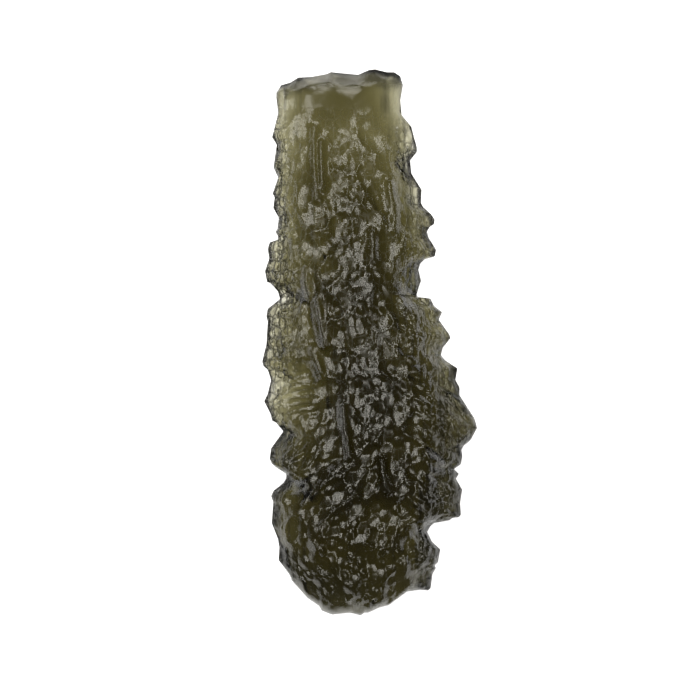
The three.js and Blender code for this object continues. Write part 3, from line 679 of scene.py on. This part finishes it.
def make_glass():
    material = bpy.data.materials.new("green_glass")
    material.use_nodes = True
    nodes, links = material.node_tree.nodes, material.node_tree.links
    shader = nodes["Principled BSDF"]
    shader.inputs["IOR"].default_value = GLASS_IOR
    shader.inputs["Transmission Weight"].default_value = 1
    tint = nodes.new("ShaderNodeVolumeAbsorption")
    tint.inputs["Color"].default_value = TINT
    tint.inputs["Density"].default_value = TINT_DENSITY
    links.new(tint.outputs["Volume"], nodes["Material Output"].inputs["Volume"])

    def share_of(name):
        share = nodes.new("ShaderNodeAttribute")
        share.attribute_name = name
        return share.outputs["Fac"]

    def times(first, second):
        product = nodes.new("ShaderNodeMath")
        product.operation = "MULTIPLY"
        links.new(first, product.inputs[0])
        links.new(second, product.inputs[1])
        return product.outputs["Value"]

    def tone(share, colour):
        """A blend towards a colour, from what is then put into A."""
        blend = nodes.new("ShaderNodeMix")
        blend.data_type = "RGBA"
        links.new(share, blend.inputs["Factor"])
        blend.inputs["B"].default_value = colour
        return blend

    def pattern_place(scale):
        place_on = nodes.new("ShaderNodeTexCoord")
        stretch = nodes.new("ShaderNodeMapping")
        stretch.inputs["Scale"].default_value = scale
        links.new(place_on.outputs["Object"], stretch.inputs["Vector"])
        return stretch.outputs["Vector"]

    def noise_at(place_on, scale, detail):
        cloud = nodes.new("ShaderNodeTexNoise")
        cloud.inputs["Scale"].default_value = scale
        cloud.inputs["Detail"].default_value = detail
        links.new(place_on, cloud.inputs["Vector"])
        return cloud

    def cell_edges(distance, width):
        """1 on the edges of the cells, and 0 from the given width inwards."""
        edges = nodes.new("ShaderNodeMapRange")
        edges.interpolation_type = "SMOOTHSTEP"
        edges.inputs["From Max"].default_value = width
        edges.inputs["To Min"].default_value = 1
        edges.inputs["To Max"].default_value = 0
        links.new(distance, edges.inputs["Value"])
        return edges.outputs["Result"]

    cell_place = pattern_place(CELL_SCALE)
    swirled = nodes.new("ShaderNodeVectorMath")
    swirled.operation = "MULTIPLY_ADD"
    links.new(noise_at(cell_place, SWIRL_SCALE, 1).outputs["Color"], swirled.inputs[0])
    swirled.inputs[1].default_value = SWIRL
    links.new(cell_place, swirled.inputs[2])
    cells = nodes.new("ShaderNodeTexVoronoi")
    cells.feature = "DISTANCE_TO_EDGE"
    cells.inputs["Scale"].default_value = 1
    cells.inputs["Randomness"].default_value = CELL_RANDOMNESS
    links.new(swirled.outputs["Vector"], cells.inputs["Vector"])
    # The cell edges are grooves: darkened with painted shade where the line share is, and dull where
    # the crackle is.
    shaded_groove = times(cell_edges(cells.outputs["Distance"], LINE_WIDTH), share_of("shaded_lines"))
    dull_line = times(cell_edges(cells.outputs["Distance"], GROOVE_WIDTH), share_of("crackle"))

    # Base colour: painted shade with some random stain, then painted shade in the grooves, then a
    # pale painted sheen on the crests and the comb bars.
    stain_shade_blend = tone(share_of("stain_and_shade"), STAIN_SHADE_TONE)
    stain_shade_blend.inputs["A"].default_value = CLEAR
    shaded_lines_blend = tone(shaded_groove, SHADED_LINE_TONE)
    links.new(stain_shade_blend.outputs["Result"], shaded_lines_blend.inputs["A"])
    pale_sheen_blend = tone(share_of("pale_sheen"), PALE_SHEEN_TONE)
    links.new(shaded_lines_blend.outputs["Result"], pale_sheen_blend.inputs["A"])
    links.new(pale_sheen_blend.outputs["Result"], shader.inputs["Base Color"])

    skin_roughness = nodes.new("ShaderNodeMapRange")
    skin_roughness.inputs["To Min"].default_value = CORE_ROUGHNESS
    skin_roughness.inputs["To Max"].default_value = RIM_ROUGHNESS
    links.new(share_of("rim"), skin_roughness.inputs["Value"])
    roughness = nodes.new("ShaderNodeMix")
    links.new(dull_line, roughness.inputs["Factor"])
    links.new(skin_roughness.outputs["Result"], roughness.inputs["A"])
    roughness.inputs["B"].default_value = GROOVE_ROUGHNESS
    links.new(roughness.outputs["Result"], shader.inputs["Roughness"])

    line_bump = nodes.new("ShaderNodeBump")
    line_bump.inputs["Distance"].default_value = LINE_DEPTH
    line_bump.invert = True
    links.new(shaded_groove, line_bump.inputs["Height"])
    grain_bump = nodes.new("ShaderNodeBump")
    grain_bump.inputs["Distance"].default_value = GRAIN_DEPTH
    grain = noise_at(pattern_place(GRAIN_SCALE), 1, 0)
    links.new(grain.outputs["Fac"], grain_bump.inputs["Height"])
    links.new(line_bump.outputs["Normal"], grain_bump.inputs["Normal"])
    links.new(grain_bump.outputs["Normal"], shader.inputs["Normal"])
    return material


stone.data.materials.append(make_glass())
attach(stone, "root")
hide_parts("moldavite")

# The floor: a pale sheet that glows a little, so that the stone is lit from below as well.
# It lies a hair under the stone, in metres.
FLOOR_SIZE = 0.6
FLOOR_DROP = 2e-5
FLOOR_TONE = (0.85, 0.85, 0.85, 1)
FLOOR_ROUGHNESS = 0.9
FLOOR_GLOW = 0.95
floor_shape = bmesh.new()
bmesh.ops.create_grid(floor_shape, x_segments=1, y_segments=1, size=FLOOR_SIZE / 2)
bmesh.ops.translate(floor_shape, verts=floor_shape.verts, vec=(0, 0, -FLOOR_DROP))
floor_mesh = bpy.data.meshes.new("floor")
floor_shape.to_mesh(floor_mesh)
floor_shape.free()
floor = bpy.data.objects.new("floor", floor_mesh)
bpy.context.scene.collection.objects.link(floor)
paper = bpy.data.materials.new("white_paper")
paper.use_nodes = True
paper_shader = paper.node_tree.nodes["Principled BSDF"]
paper_shader.inputs["Base Color"].default_value = FLOOR_TONE
paper_shader.inputs["Roughness"].default_value = FLOOR_ROUGHNESS
paper_shader.inputs["Emission Color"].default_value = (1, 1, 1, 1)
paper_shader.inputs["Emission Strength"].default_value = FLOOR_GLOW
floor_mesh.materials.append(paper)

# The light: three square soft boxes above the stone, one beyond it, one on its left and one to
# its near right, in a dim room. Sizes are in metres and powers in watts.
ROOM_TONE = (0.06, 0.06, 0.065, 1)
LAMP_TONE = (1, 0.98, 0.9)
LAMP_DISTANCE = 0.4
world = bpy.data.worlds.new("studio")
world.use_nodes = True
world.node_tree.nodes["Background"].inputs["Color"].default_value = ROOM_TONE
bpy.context.scene.world = world


def add_soft_box(name, azimuth, elevation, size, power):
    lamp = bpy.data.lights.new(name, "AREA")
    lamp.shape = "SQUARE"
    lamp.size = size
    lamp.energy = power
    lamp.color = LAMP_TONE
    box = bpy.data.objects.new(name, lamp)
    a, e = math.radians(azimuth), math.radians(elevation)
    away = (math.sin(a) * math.cos(e), math.cos(a) * math.cos(e), math.sin(e))
    box.location = [LAMP_DISTANCE * part for part in away]
    box.rotation_euler = (math.pi / 2 - e, 0, math.pi - a)
    bpy.context.scene.collection.objects.link(box)


add_soft_box("soft_box_top", 0, 52, 0.26, 1.0)
add_soft_box("soft_box_left", -85, 52, 0.22, 0.75)
add_soft_box("soft_box_near", 120, 57, 0.16, 0.42)

# The camera looks straight down at the stone, through a long lens. The view is fitted to the
# stone at the height of its rim.
MM_PER_PIXEL = 0.0733
FRAME_PIXELS = 700
STONE_CENTRE_PIXEL = (369.65, 342.25)
RIM_HEIGHT = 0.0013
LENS = 200
SENSOR_WIDTH = 36
NEAREST = 0.01
FARTHEST = 5
camera_data = bpy.data.cameras.new("camera")
camera_data.lens = LENS
camera_data.sensor_width = SENSOR_WIDTH
camera_data.clip_start = NEAREST
camera_data.clip_end = FARTHEST
camera = bpy.data.objects.new("camera", camera_data)
view_width = FRAME_PIXELS * MM_PER_PIXEL / 1000
distance = view_width * LENS / SENSOR_WIDTH
middle_x = (FRAME_PIXELS / 2 - STONE_CENTRE_PIXEL[0]) * MM_PER_PIXEL / 1000
middle_y = (STONE_CENTRE_PIXEL[1] - FRAME_PIXELS / 2) * MM_PER_PIXEL / 1000
camera.location = (middle_x, middle_y, RIM_HEIGHT + distance)
bpy.context.scene.collection.objects.link(camera)
bpy.context.scene.camera = camera
bpy.context.scene.view_settings.view_transform = "Standard"
